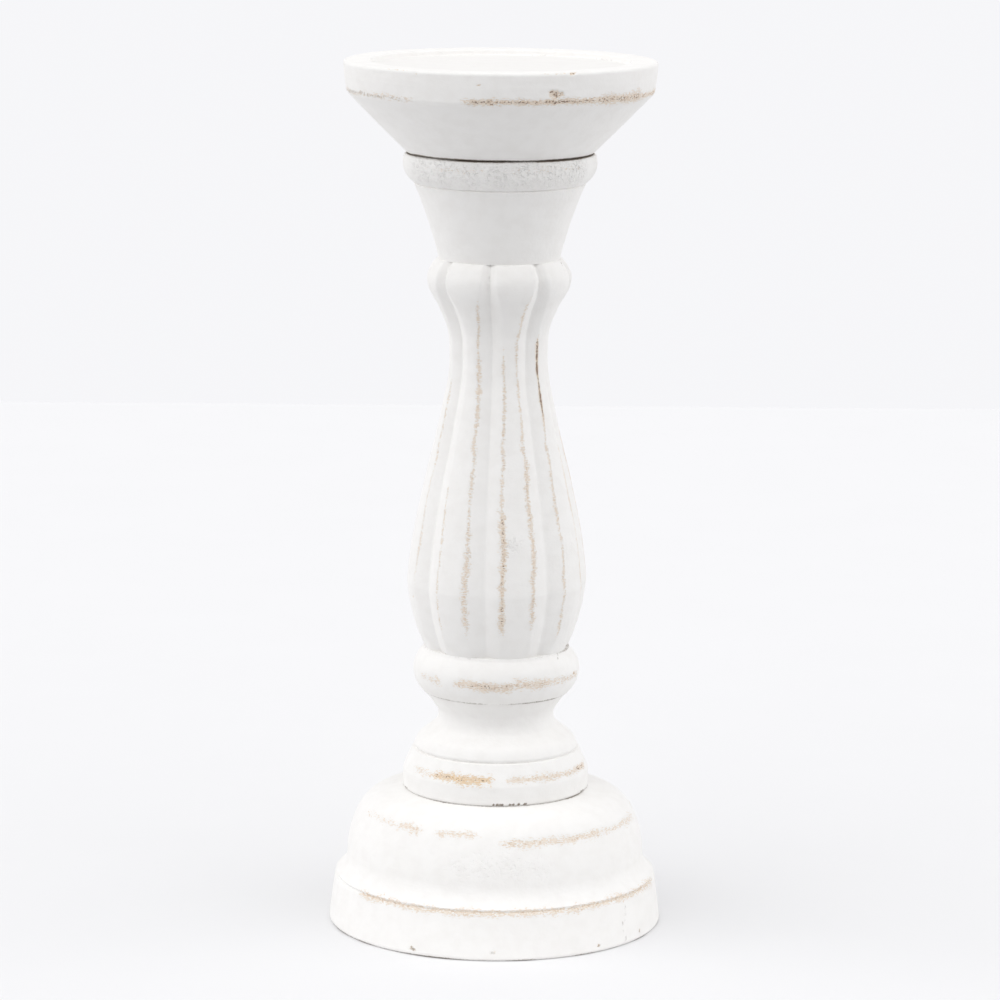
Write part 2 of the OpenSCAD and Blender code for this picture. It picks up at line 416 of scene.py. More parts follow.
class Graph:
    """Builds a material's nodes. Places are in millimetres."""

    def __init__(self, name):
        self.material = bpy.data.materials.new(name)
        self.material.use_nodes = True
        self.tree = self.material.node_tree
        self.shader = self.tree.nodes["Principled BSDF"]
        place = self.tree.nodes.new("ShaderNodeTexCoord").outputs["Object"]
        self.place = self.stretched(place, (1 / MM, 1 / MM, 1 / MM))

    def add(self, kind, inputs, **settings):
        """A node with its settings, and its inputs linked or set."""
        node = self.tree.nodes.new(kind)
        for key, value in settings.items():
            setattr(node, key, value)
        for key, value in inputs.items():
            if isinstance(value, bpy.types.NodeSocket):
                self.tree.links.new(value, node.inputs[key])
            else:
                node.inputs[key].default_value = value
        return node

    def stretched(self, vector, scale):
        """A vector multiplied axis by axis."""
        return self.add("ShaderNodeVectorMath", {0: vector, 1: scale}, operation="MULTIPLY").outputs[0]

    def noise(self, size, detail=2.0, rough=0.5, place=None):
        """Smooth noise from 0 to 1, with lumps of about size mm."""
        inputs = {"Vector": place or self.place, "Scale": 1 / size, "Detail": detail, "Roughness": rough}
        return self.add("ShaderNodeTexNoise", inputs).outputs[0]

    def value(self, name):
        """A value stored on the piece's points."""
        return self.add("ShaderNodeAttribute", {}, attribute_name=name).outputs["Fac"]

    def sum(self, *parts):
        """The weighted sum of (socket, weight) pairs, with a plain number for an offset."""
        total = None
        for part in parts:
            if not isinstance(part, tuple):
                total = self.add("ShaderNodeMath", {0: total, 1: part}, operation="ADD").outputs[0]
                continue
            socket, weight = part
            inputs = {0: socket, 1: weight, 2: 0.0 if total is None else total}
            total = self.add("ShaderNodeMath", inputs, operation="MULTIPLY_ADD").outputs[0]
        return total

    def product(self, a, b):
        """The product of two values."""
        return self.add("ShaderNodeMath", {0: a, 1: b}, operation="MULTIPLY").outputs[0]

    def step(self, value, low, high, start=0.0, end=1.0):
        """A soft step: start below low and end above high."""
        inputs = {"Value": value, "From Min": low, "From Max": high, "To Min": start, "To Max": end}
        return self.add("ShaderNodeMapRange", inputs, interpolation_type="SMOOTHSTEP").outputs[0]

    def blend(self, share, a, b):
        """Colour a, going to colour b as share goes to 1."""
        node = self.add("ShaderNodeMix", {}, data_type="RGBA")
        for socket, value in zip((node.inputs[0], node.inputs[6], node.inputs[7]), (share, a, b)):
            if isinstance(value, bpy.types.NodeSocket):
                self.tree.links.new(value, socket)
            else:
                socket.default_value = value
        return node.outputs[2]

    def bump(self, height, distance, under=None):
        """The shading normal for a height from 0 to 1 that stands for distance mm."""
        inputs = {"Height": height, "Distance": distance * MM, "Strength": 1.0}
        if under is not None:
            inputs["Normal"] = under
        return self.add("ShaderNodeBump", inputs).outputs[0]

    def finish(self, **sockets):
        """Links or sets the shader's own sockets, and returns the material."""
        for key, value in sockets.items():
            socket = self.shader.inputs[key.replace("_", " ")]
            if isinstance(value, bpy.types.NodeSocket):
                self.tree.links.new(value, socket)
            else:
                socket.default_value = value
        return self.material


def rgba(colour):
    """A colour setting with full opacity."""
    return (*colour, 1.0)


# Size of crackled paint's flakes, in mm, how dark its cracks are, and the painted shade in the dish's hollow
# as a share of cream
FLAKE_SIZE, CRACK_SHADE, HOLLOW_SHADE_SHARE = 1 / 1.5, 0.12, 0.94


def chalk_white_paint(colours):
    """Chalky paint, rubbed through to wood where the piece says so, with dirt in its cracks and marks, and
    painted shade in its creases, grooves, joints and hollow.
    """
    name = "worn_chalk_paint"
    if name in bpy.data.materials:
        return bpy.data.materials[name]
    g = Graph(name)
    # Mottle and grain, from coarse to fine
    broad = g.noise(22.0, 3.0)
    cloudy = g.noise(5.0, 3.0)
    patchy = g.noise(1.9, 2.0)
    grain = g.noise(0.62, 2.0, 0.6)
    specks = g.noise(0.7, 1.0, 0.5, g.stretched(g.place, (1.0, 1.0, 1.5)))
    brushed = g.noise(0.8, 3.0, 0.55, g.stretched(g.place, (0.12, 0.12, 1.0)))
    scratches = g.noise(0.34, 2.0, 0.6, g.stretched(g.place, (0.3, 0.3, 1.0)))
    worn, crackled, grimy, warm, dull = [g.value(field) for field in PAINT_FIELDS]

    # Where the paint is thin, where wood is bare and where the wood has dark flecks
    rubbing = g.sum((worn, 1.0), (patchy, 0.8), (grain, 1.1), (scratches, 2.4), -2.2)
    touched = g.step(worn, 0.04, 0.2)
    thin = g.product(g.step(rubbing, 0.3, 0.64), touched)
    bare = g.product(g.step(rubbing, 0.58, 1.05), touched)
    darkness = g.sum((worn, 0.75), (specks, 2.6), (scratches, 1.2), -2.28)
    dark = g.product(g.step(darkness, 0.52, 0.74), g.step(worn, 0.68, 0.98))

    # Cracks between flakes of paint, pits among them, and dirt with painted shade
    inputs = {"Vector": g.place, "Scale": 1 / FLAKE_SIZE}
    cells = g.add("ShaderNodeTexVoronoi", inputs, feature="DISTANCE_TO_EDGE").outputs["Distance"]
    broken = g.step(g.sum((crackled, 0.6), (patchy, 1.6), (specks, 1.2), -1.1), 0.5, 0.8)
    gaps = g.product(g.step(cells, 0.02, 0.1, CRACK_SHADE, 0.0), broken)
    cracked = g.product(gaps, g.step(crackled, 0.1, 0.5))
    pitted = g.product(g.step(g.noise(1.1, 2.0), 0.5, 0.68, 1.0, 0.0), crackled)
    stain_and_shade = g.step(g.sum((grimy, 1.0), (grain, 0.7), (patchy, 0.5), -0.6), 0.25, 0.95)
    darkened = g.product(stain_and_shade, g.step(grimy, 0.03, 0.2))

    # Colours
    white, cream, rubbed, tan = map(rgba, (colours.white, colours.cream, colours.rubbed, colours.tan))
    umber, amber, grime = map(rgba, (colours.umber, colours.amber, colours.grime))
    hollow_shade_colour = rgba([HOLLOW_SHADE_SHARE * c for c in colours.cream])
    pale = g.blend(g.step(cloudy, 0.35, 0.75, 0.0, 0.6), white, cream)
    paint = g.blend(g.step(broad, 0.45, 0.8, 0.0, 0.3), pale, cream)
    # Painted shade on the floor of the dish's hollow
    paint = g.blend(dull, paint, hollow_shade_colour)
    wood = g.blend(g.step(patchy, 0.4, 0.7), tan, rubbed)
    wood = g.blend(g.product(warm, g.step(cloudy, 0.3, 0.6)), wood, amber)
    colour = g.blend(thin, paint, g.blend(g.product(warm, 0.6), rubbed, amber))
    colour = g.blend(bare, colour, wood)
    colour = g.blend(dark, colour, umber)
    colour = g.blend(cracked, colour, grime)
    # Dirt, and painted shade in creases, grooves and joints
    colour = g.blend(darkened, colour, grime)

    # Relief: brush marks, lumps, and the edges of the paint where it is worn through or cracked
    skin = g.bump(g.sum((grain, 0.55), (brushed, 0.45)), 0.075)
    lumpy = g.bump(g.sum((patchy, 0.11), (pitted, 0.3)), 1.0, skin)
    edges = g.bump(g.sum((thin, -0.6), (bare, -0.4), (cracked, -0.6), 1.6), 0.11, lumpy)
    rough = g.sum((bare, -0.12), (grain, 0.1), 0.8)
    return g.finish(Base_Color=colour, Roughness=rough, Normal=edges, Specular_IOR_Level=0.3)


def bare_beech():
    """Sanded beech with short dark flecks along the grain."""
    g = Graph("sanded_beech")
    grain = g.noise(0.9, 4.0, 0.6, g.stretched(g.place, (1.0, 1.0, 0.05)))
    rings = g.noise(3.5, 2.0, 0.5, g.stretched(g.place, (1.0, 1.0, 0.03)))
    flecks = g.noise(0.5, 1.0, 0.5, g.stretched(g.place, (1.0, 1.0, 0.35)))
    wood = g.blend(g.step(grain, 0.35, 0.65), (0.66, 0.45, 0.25, 1), (0.53, 0.34, 0.17, 1))
    wood = g.blend(g.step(rings, 0.45, 0.7, 0.0, 0.5), wood, (0.44, 0.26, 0.12, 1))
    wood = g.blend(g.step(flecks, 0.66, 0.72, 0.0, 0.8), wood, (0.26, 0.14, 0.07, 1))
    return g.finish(Base_Color=wood, Roughness=g.sum((grain, 0.2), 0.5), Normal=g.bump(grain, 0.06))


def zinc_steel():
    """Zinc-plated steel with a faint crystal pattern and turning marks."""
    g = Graph("plated_zinc")
    inputs = {"Vector": g.place, "Scale": 0.9}
    crystals = g.add("ShaderNodeTexVoronoi", inputs, feature="F1").outputs["Distance"]
    scratches = g.noise(0.25, 3.0, 0.6, g.stretched(g.place, (1.0, 1.0, 8.0)))
    colour = g.blend(crystals, (0.66, 0.67, 0.69, 1), (0.54, 0.55, 0.56, 1))
    rough = g.sum((scratches, 0.25), 0.22)
    return g.finish(Base_Color=colour, Metallic=1.0, Roughness=rough, Normal=g.bump(scratches, 0.01))


def brown_felt():
    """Pressed felt with tangled fibres."""
    g = Graph("pressed_felt")
    tangle = g.noise(0.35, 5.0, 0.7)
    matted = g.noise(4.0, 3.0, 0.6)
    colour = g.blend(g.step(tangle, 0.3, 0.7), (0.10, 0.07, 0.05, 1), (0.19, 0.145, 0.11, 1))
    colour = g.blend(g.step(matted, 0.4, 0.75, 0.0, 0.5), colour, (0.13, 0.095, 0.07, 1))
    return g.finish(
        Base_Color=colour, Roughness=0.95, Normal=g.bump(tangle, 0.35), Sheen_Weight=0.4, Sheen_Roughness=0.6
    )


# ---- the pieces


def settings():
    """The turning sizes and the paint colours as the user has set them."""
    scene = bpy.context.scene
    return scene.candlestick_turning, scene.candlestick_paint


# Chips as (angle, radius, height, size, depth): the large one in front, then nicks in the lip and behind
DISH_CHIPS = [
    (18.6, 52.8, 293.5, 1.1, 0.4), (20.3, 52.8, 292.7, 1.3, 0.5), (22.1, 52.7, 293.1, 0.8, 0.3),
    (23.2, 52.7, 291.9, 0.45, 0.2), (16.3, 52.9, 294.3, 0.35, 0.2), (26.0, 53.1, 299.7, 0.7, 0.4),
    (27.2, 53.1, 299.9, 0.6, 0.4), (-32, 53.2, 299.2, 0.55, 0.25), (-8, 53.1, 296, 0.35, 0.2),
    (158, 53.0, 297.4, 0.9, 0.3), (215, 53.2, 299.6, 0.7, 0.3), (-124, 52.7, 292.2, 0.8, 0.25),
]


def build_dish():
    """The candle dish: a cone, a band and a shallow hollow."""
    sizes, colours = settings()
    rim = radius("candle_dish")
    band, band_z, floor_z = rim - RIM_TAPER, TOP_Z - BAND_HEIGHT, TOP_Z - HOLLOW_DEPTH
    under = [(0, DISH_Z + DISH_SOCKET), (SOCKET_R, DISH_Z + DISH_SOCKET), (SOCKET_R, DISH_Z), (20, DISH_Z)]
    cone = [(32, DISH_Z), (41.9, DISH_Z + 9.75), (band - 0.6, band_z - 1)]
    side = [(band, band_z), (rim - 0.35, TOP_Z - 5)]
    top = arc((rim - 1, TOP_Z - 1), 1, 5, 90) + arc((HOLLOW_R + 0.8, TOP_Z - 0.8), 0.8, 90, 180, 5)
    floor = arc((HOLLOW_R - 0.8, floor_z + 0.8), 0.8, 0, -90, 4) + [(r, floor_z) for r in (30, 16, 4)]
    outline = under + walk(cone + side + top, sizes.step) + walk(floor, 1.6) + [(0, floor_z)]
    dish, out, closed = turned_surface(outline, sizes.around)
    edge, lip = (band - 0.1, band_z + 0.5), (rim - 0.5, TOP_Z - 0.2)
    dish.rub(
        [
            (*edge, 1.15, -13, 38, 1.18), (*edge, 1.75, 36, 64, 1.02), (*edge, 1.35, 62, 88, 0.98),
            (*edge, 1.2, -90, -34, 0.5), (*lip, 0.5, -48, -36, 0.4), (*lip, 0.5, 14, 24, 0.4),
            *wear_behind(*edge, 1.0, 21),
        ],
        5,
    )
    dish.rub([(*edge, 0.95, -90, -36, 0.5), (*edge, 0.5, -13, 60, 0.5)], 6, "grimy")
    dish.chip(DISH_CHIPS)
    # Painted shade on the floor of the hollow, darker than the rim, where the walls round it keep light off
    in_hollow = gate(dish.radius, -1, HOLLOW_R - 0.6, 1.5) * (dish.points[:, 2] > floor_z - 1)
    dish.dull = 0.45 * in_hollow
    # Painted shade where the dish sits on the capital, and round the edge of the hollow's floor
    dish.crease([(31.9, DISH_Z + 0.1, 0.55, 1.6), (HOLLOW_R - 0.2, floor_z + 0.2, 0.7, 0.35)], 8)
    dish.crackle([(150, 44, 280, 6, 0.6)])
    finish_by_hand(dish, out, DISH_Z, TOP_Z + 9, SOCKET_R + 1, sizes.uneven, 11)
    return painted_piece("candle_dish_painted", "candle_dish", dish, closed, chalk_white_paint(colours))


def build_capital():
    """The capital: a hollowed cup with a bead round its top."""
    sizes, colours = settings()
    z, top = CAPITAL_Z, DISH_Z
    foot_hole, top_hole = z + CAPITAL_FOOT_SOCKET, top - CAPITAL_TOP_SOCKET
    under = [(0, foot_hole), (SOCKET_R, foot_hole), (SOCKET_R, z), (15, z)]
    cup = hollowed((20.8, z), (29.3, top - 11), 0.65) + [(28.9, top - 10.6), (29.8, top - 10.1)]
    bead = arc((25.7, top - 3.7), 7.5, -53, 22, 14) + [(31.6, top - 0.4), (30.6, top - 0.4), (30.4, top)]
    over = [(20, top), (SOCKET_R, top), (SOCKET_R, top_hole), (0, top_hole)]
    outline = under + walk(cup + bead, sizes.step) + over
    capital, out, closed = turned_surface(outline, sizes.around * 3 // 2)
    crown = (33.0, top - 3.2)
    front = [(*crown, 1.6, -52, -6, 0.2), (*crown, 1.6, 4, 58, 0.2)]
    capital.rub(front + wear_behind(*crown, 1.3, 33), 15)
    capital.crackle([(turn, 33, top - 3.4, 7.5, 0.9) for turn in (-55, -36, -18, 0, 17, 34, 51)])
    capital.crackle([(turn, 33, top - 3.4, 8, 0.7) for turn in (85, 100, 140, 156, 200, 215, 262)])
    # Painted shade in the cup's creases, and where the dish sits on the bead
    capital.crease([(29.5, top - 10.6, 0.35, 0.3), (20.9, z + 0.2, 0.4, 0.3)], 18)
    capital.crease([(31.7, top - 0.4, 0.55, 1.6), (30.8, top - 0.3, 0.6, 1.4)], 19)
    finish_by_hand(capital, out, z, top, SOCKET_R + 1, sizes.uneven, 41)
    return painted_piece("capital_painted", "capital", capital, closed, chalk_white_paint(colours))


# Angles of the dirt marks at the foot of the drum
DRUM_DIRT = (-1, 1.5, 4, 9, 11, 14.5, 18.5, -76, -73, 68, 71)


def build_stem():
    """The lower stem: a drum, a rounded shoulder, a neck and a bead."""
    sizes, colours = settings()
    z, top = STEM_Z, BODY_Z
    drum_r = radius("lower_stem")
    under = [(0, z + PILOT_DEPTH), (PILOT_R, z + PILOT_DEPTH), (PILOT_R, z), (18, z)]
    drum = [(drum_r - 0.5, z), (drum_r, z + 0.5), (drum_r, z + 6.5), (31.3, z + 8.7)]
    step = [(28.9, z + 13.8), (27.9, z + 14.05)]
    neck = arc((19.7, z + 12.4), 9, 16, 42, 8) + arc((24.9, z + 25.8), 5, 225, 140, 16)
    undercut = [(24.1, z + 33.3), (24.25, z + 33.7), (25.2, z + 34.1)]
    bead = arc((19, z + 41.8), 9.7, -46, 48, 20) + [(25, top)]
    over = [(16, top), (SOCKET_R, top), (SOCKET_R, top - STEM_SOCKET), (0, top - STEM_SOCKET)]
    stem, out, closed = turned_surface(
        under + walk(drum + step + neck + undercut + bead, sizes.step) + over, sizes.around
    )
    edge, crown = (31.3, z + 8.9), (28.7, z + 41.1)
    stem.rub(
        [
            (*edge, 1.5, -64, -44, 0.5), (*edge, 1.9, -44, -2, 0.98), (*edge, 1.4, 8, 80, 0.76),
            (*edge, 1.3, 62, 78, 1.1), (*crown, 1.5, -64, -40, 0.45), (*crown, 2.0, -30, 41, 0.82),
            (*crown, 1.8, -21, 11, 0.92), (*crown, 1.2, 40, 77, 0.62), *wear_behind(*edge, 1.5, 51),
            *wear_behind(*crown, 1.7, 52),
        ],
        25,
    )
    near_edge = np.exp(-(((stem.points[:, 2] - edge[1]) / 5) ** 2))
    stem.warm = near_edge * gate(stem.angle, -50, 2, 8)
    stem.chip([(1.5, 22.8, z + 29.1, 0.35, 0.15), (69, 28.7, z + 42, 0.6, 0.25)])
    stem.chip([(200, 28.6, z + 41, 0.8, 0.25)])
    stem.soil([(turn, drum_r, z + 0.5, 0.6, 1.5) for turn in DRUM_DIRT])
    stem.crack((53, 26.5, top - 1.8), (56, 25.5, top - 0.6), 0.4, 0.8)
    # Painted shade in the creases of the neck and the step, and at the joints above and below
    stem.crease([(25.2, z + 34.2, 0.6, 0.85), (28.4, z + 14.3, 0.4, 0.42), (25, top - 0.2, 0.6, 0.7)], 28)
    stem.crease([(drum_r, z + 0.1, 0.5, 0.55)], 29)
    finish_by_hand(stem, out, z, top, SOCKET_R + 1, sizes.uneven, 61)
    return painted_piece("lower_stem_painted", "lower_stem", stem, closed, chalk_white_paint(colours))


# Angles and heights of the small chips low on the foot
FOOT_CHIPS = ((-29, 2.5), (-27.8, 2.2), (-0.5, 3.1), (38.5, 2.3), (60.5, 2.9))


def build_plinth():
    """The plinth: a foot band, a ledge, a cove and a bell, hollowed underneath for the felt and the screw."""
    sizes, colours = settings()
    z, top = PLINTH_Z, STEM_Z
    foot_r = radius("plinth")
    foot = arc((foot_r - 1.2, 1.2), 1.2, -90, 0, 6) + arc((54.8, 15.2), 1.2, 5, 75, 6)
    cove = arc((60, 24.5), 8.5, 238, 180, 14)
    bell = arc((20.5, 24.5), 31, 2, 29, 14) + arc((36.25, 33.25), 13, 32, 80, 12) + [(31.1, top)]
    hole = [(18, top), (SCREW_HOLE_R, top), (SCREW_HOLE_R, WASHER_SEAT_Z), (WASHER_SEAT_R, WASHER_SEAT_Z)]
    recess = [(WASHER_SEAT_R, 8), (WASHER_SEAT_R, RECESS_DEPTH), (28, RECESS_DEPTH), (RECESS_R, RECESS_DEPTH)]
    under = [(RECESS_R, 0), (51, 0)]
    outline = walk(foot + cove + bell, sizes.step) + hole + recess + under
    plinth, out, closed = turned_surface(outline, sizes.around)
    ledge = (55.4, 16.2)
    plinth.rub(
        [
            (46.7, 41.0, 1.3, -72, -45, 0.36), (46.7, 41.0, 1.6, -46, -32, 0.72),
            (46.9, 40.8, 1.5, -26, -7, 0.66), (48.2, 38.6, 1.6, 3, 50, 0.74),
            (48.2, 38.6, 1.4, 50, 81, 0.58), (*ledge, 1.5, -56, 79, 0.8),
            *wear_behind(47.4, 39.8, 1.4, 71, 6), *wear_behind(*ledge, 0.8, 72, 6),
        ],
        35,
    )
    for turn, height in FOOT_CHIPS:
        plinth.chip([(turn, foot_r, height, 0.5, 0.15)])
        plinth.soil([(turn, foot_r, height, 0.9, 0.75)])
    plinth.chip([(150, foot_r, 4.0, 0.8, 0.2), (214, foot_r, 9.5, 0.6, 0.2), (120, 55, 15.8, 0.7, 0.2)])
    plinth.crack((52.5, foot_r - 1.6, 13.5), (50.5, foot_r, 0.6), 0.85, 0.62)
    plinth.crack((201, foot_r, 14.0), (204, foot_r, 2.0), 0.5, 0.6)
    plinth.crackle([(-14, 51, 30, 5, 0.4), (-4, 51, 31, 6, 0.45), (7, 51, 31, 6, 0.45), (17, 51, 30, 5, 0.4)])
    plinth.crackle([(170, 51, 31, 9, 0.45)])
    # Painted shade in the cove, where the stem sits, and along the foot's bottom edge where it meets the
    # floor
    creases = [(52.2, 19.5, 1.0, 0.3), (foot_r - 0.6, z + 0.2, 0.7, 0.9), (31.5, top - 0.2, 0.8, 0.9)]
    plinth.crease(creases, 38)
    finish_by_hand(plinth, out, z, top, RECESS_R + 0.5, sizes.uneven, 81)
    return painted_piece("plinth_painted", "plinth", plinth, closed, chalk_white_paint(colours))


# Radius of a rib's face at shares of the body's height, in stretches that meet in a soft crease, and half the
# angle that the face spans
RIB_STRETCHES = [
    [(0, 25), (0.04, 27.3), (0.1, 29.7), (0.167, 31.2)],
    [(0.167, 31.2), (0.22, 30.6), (0.3, 29.05), (0.42, 25.7), (0.55, 21.5), (0.66, 18.35), (0.69, 17.55)],
    [
        (0.69, 17.55), (0.72, 17.15), (0.75, 16.95), (0.82, 17.7), (0.88, 20.9), (0.92, 23.9), (0.955, 24.8),
        (0.985, 23.2), (1, 21.5),
    ],
]
FACE_KNOTS = [
    (0, 11.5), (0.06, 10.4), (0.4, 10.3), (0.53, 9.75), (0.65, 8.2), (0.8, 7.9), (0.87, 10), (0.92, 14),
    (0.96, 16), (1, 16),
]

# How much deeper the grooves are cut at shares of the body's height
DEPTH_KNOTS = [(0, 0.95), (0.4, 1.05), (0.6, 1.3), (0.75, 1.5), (0.9, 1.45), (1, 1.3)]


def smooth_at(knots, t):
    """Smooth curve through knots (share, value), at each share in t."""
    x, y = np.array(knots, float).T
    before, after = np.maximum(np.arange(len(x)) - 1, 0), np.minimum(np.arange(len(x)) + 1, len(x) - 1)
    slope = (y[after] - y[before]) / (x[after] - x[before])
    i = np.clip(np.searchsorted(x, t, side="right") - 1, 0, len(x) - 2)
    span = x[i + 1] - x[i]
    u = (t - x[i]) / span
    return (
        y[i] * (1 + 2 * u) * (1 - u) ** 2 + y[i + 1] * u * u * (3 - 2 * u)
        + span * slope[i] * u * (1 - u) ** 2 - span * slope[i + 1] * u * u * (1 - u)
    )


def rib_radius(share):
    """Radius of a rib's face at each share of the body's height."""
    starts = [stretch[0][0] for stretch in RIB_STRETCHES[1:]]
    within = [share < starts[0], share < starts[1], share >= starts[1]]
    return np.select(within, [smooth_at(knots, share) for knots in RIB_STRETCHES])


# How much a rib's face falls off to its edges, as a share of the radius, and how curved its flanks are
FACE_CURVE, FLANK_CURVE = 0.004, 0.14
# Each corner of the section is softened over an angle, as the mean of a few shifted sections
CORNER_SOFT, CORNER_STEPS = 0.75, 7


def rib_section(turn, face, groove, half, soft):
    """Share of the radius at an angle from a rib's middle: face, flank and groove, with soft corners."""
    total = 0.0
    for shift in np.linspace(-soft, soft, CORNER_STEPS):
        away = np.abs((turn + shift + half) % (2 * half) - half)
        on_face = 1 - FACE_CURVE * (away / face) ** 2
        flank = (away - face) / (half - face)
        hollow = (1 - FLANK_CURVE) * flank + FLANK_CURVE * flank * flank
        on_flank = 1 - FACE_CURVE - (groove - FACE_CURVE) * hollow
        total = total + np.where(away < face, on_face, on_flank)
    return total / CORNER_STEPS


def body_surface(sizes, step):
    """The fluted outside of the body, closed over both ends round its dowel sockets."""
    low, high = BODY_Z, CAPITAL_Z
    rows = int((high - low) / step)
    share = np.linspace(0, 1, rows + 1)
    half = TURN / 2 / sizes.ribs
    around = sizes.ribs * sizes.rib_facets
    turn = np.arange(around) * TURN / around
    r = rib_radius(share)[:, None]
    face = smooth_at(FACE_KNOTS, share)[:, None]
    groove = sizes.groove * smooth_at(DEPTH_KNOTS, share)[:, None]
    section = rib_section(turn[None] - sizes.rib_turn, face, groove, half, CORNER_SOFT)
    r = r * section
    z = np.repeat(low + share[:, None] * (high - low), around, 1)
    sine, cosine = np.sin(np.radians(turn)), -np.cos(np.radians(turn))
    shell = np.stack([r * sine, r * cosine, z], 2)
    ends = [(SOCKET_R, low + BODY_SOCKET), (SOCKET_R, low), (BODY_END_R, low)]
    ends += [(BODY_END_R, high), (SOCKET_R, high), (SOCKET_R, high - BODY_SOCKET)]
    flat = [np.stack([a * sine, a * cosine, np.full(around, b)], 1)[None] for a, b in ends]
    rings = np.concatenate([*flat[:3], shell, *flat[3:]])
    points = np.concatenate([rings.reshape(-1, 3), [[0, 0, ends[0][1]], [0, 0, ends[-1][1]]]])
    up = np.gradient(rings, axis=0)
    along = np.roll(rings, -1, 1) - np.roll(rings, 1, 1)
    out = np.cross(along, up).reshape(-1, 3)
    out = out / np.maximum(np.linalg.norm(out, axis=1), 1e-9)[:, None]
    out = np.concatenate([out, [[0, 0, 1], [0, 0, -1]]])
    return Surface(points, len(rings), around), out


def rub_arrises(body, strokes, sizes, seed):
    """Rubs the paint along the edges of the ribs. A stroke is (rib, side, from, to, half width, strength),
    with side -1 for a rib's left edge and 1 for its right one, and heights in mm."""
    z = body.points[:, 2]
    face = smooth_at(FACE_KNOTS, np.clip((z - BODY_Z) / (CAPITAL_Z - BODY_Z), 0, 1))
    wander = RIB_STRAY * lumps(body.points * (0, 0, 1) + (seed, 0, 0), 5.0, seed)
    ragged = 1 + RIB_RAGGED * lumps(body.points, 2.2, seed + 1)
    pitch = TURN / sizes.ribs
    for rib, side, low, high, width, strength in strokes:
        line = sizes.rib_turn + rib * pitch + side * face
        away = np.abs(np.radians(wrapped(body.angle - line)) * body.radius + wander)
        along = gate(z, low, high, EDGE_END)
        mark = strength * along * np.exp(-((away / (width * np.maximum(ragged, 0.2))) ** 2))
        body.worn = np.maximum(body.worn, mark)


# Distance between rows of the body's mesh, in mm
BODY_STEP = 0.72
# Worn rib edges in front, as (rib, side, from, to, half width, strength)
FRONT_STROKES = [
    (0, -1, 107, 203, 0.62, 0.68), (0, -1, 107, 150, 1.15, 0.98), (0, 1, 108, 221, 0.62, 0.7),
    (0, 1, 109, 172, 1.0, 0.84), (-1, 1, 106, 221, 0.62, 0.7), (-1, 1, 150, 200, 0.8, 0.74),
    (-1, 1, 108, 142, 1.15, 0.76), (-1, -1, 105, 157, 0.5, 0.62), (-2, 1, 122, 191, 0.5, 0.62),
    (1, -1, 105, 206, 0.62, 0.74), (1, -1, 178, 206, 0.45, 1.7), (1, 1, 118, 170, 0.6, 0.8),
    (-2, -1, 108, 165, 0.6, 0.85),
]
# Painted shade in the grooves: strength, half width in mm, and how far below the capital it starts to deepen
GROOVE_SHADE, GROOVE_SHADE_WIDTH, GROOVE_SHADE_REACH = 0.28, 0.35, 16


def build_body():
    """The fluted body: ribs with worn edges between V-shaped grooves, from the bead up to the capital."""
    sizes, colours = settings()
    body, out = body_surface(sizes, BODY_STEP)
    rub_arrises(body, FRONT_STROKES, sizes, 9)
    chance = np.random.default_rng(17)
    behind = [
        (rib, side, chance.uniform(104, 125), chance.uniform(165, 220), 0.62, chance.uniform(0.7, 1.0))
        for rib in (2, 3, 4, 5)
        for side in (-1, 1)
    ]
    rub_arrises(body, behind, sizes, 10)
    body.chip([(-70.5, 30.4, 116.4, 0.45, 0.25), (168, 30, 121, 0.7, 0.3), (236, 24, 205, 0.5, 0.2)])
    body.crack((66, 24, 228.2), (72, 21.8, 232.0), 0.5, 1.1)
    body.crackle([(12, 28, 138, 2.6, 1.0), (16, 28, 131, 2.0, 0.6), (60, 27, 135, 3, 0.5)])
    body.crackle([(180, 28, 130, 5, 0.8)])
    z, high = body.points[:, 2], CAPITAL_Z
    half = TURN / 2 / sizes.ribs
    # Painted shade in the grooves between the ribs, deepening towards the capital
    valley = np.abs((body.angle - sizes.rib_turn) % (2 * half) - half) * np.radians(body.radius)
    near_end = np.clip((z - high + GROOVE_SHADE_REACH) / 8, 0, 1) + 0.25
    darkened = GROOVE_SHADE * near_end * np.exp(-((valley / GROOVE_SHADE_WIDTH) ** 2))
    body.grimy = np.maximum(body.grimy, darkened)
    # Painted shade where the body sits on the stem's bead
    body.crease([(24.5, BODY_Z + 0.1, 0.4, 0.55)], 48)
    finish_by_hand(body, out, BODY_Z, high, BODY_END_R + 0.5, sizes.uneven, 91)
    return painted_piece("fluted_body_painted", "fluted_body", body, False, chalk_white_paint(colours))


def build_felt():
    """The felt disc under the plinth, with a soft cut edge."""
    sizes, _ = settings()
    low, high = heights("base_felt")
    r = radius("base_felt")
    edge = arc((r - 0.5, low + 0.5), 0.5, -90, 0, 4) + arc((r - 0.4, high - 0.4), 0.4, 0, 90, 4)
    outline = [(0, low), (5, low)] + walk([(8, low), *edge, (8, high)], 0.9) + [(5, high), (0, high)]
    felt, out, closed = turned_surface(outline, sizes.around)
    fuzz = 0.06 * lumps(felt.points, 0.9, 3) - 0.06
    felt.points = felt.points + out * fuzz[:, None]
    piece = make_mesh("base_felt_soft", felt.points, *ring_faces(felt.rows, felt.across, closed))
    piece.data.materials.append(brown_felt())
    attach(piece, BODY)
    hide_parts("base_felt")
    return piece


def finish_fixings():
    """The dowels, the screw and its washer keep their shapes and get their materials."""
    beech, zinc = bare_beech(), zinc_steel()
    for names, material in (
        (("body_dowel", "capital_dowel", "dish_dowel"), beech),
        (("base_screw", "screw_washer"), zinc),
    ):
        for name in names:
            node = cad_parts[name]
            node.data.materials.clear()
            node.data.materials.append(material)


# ---- the stage


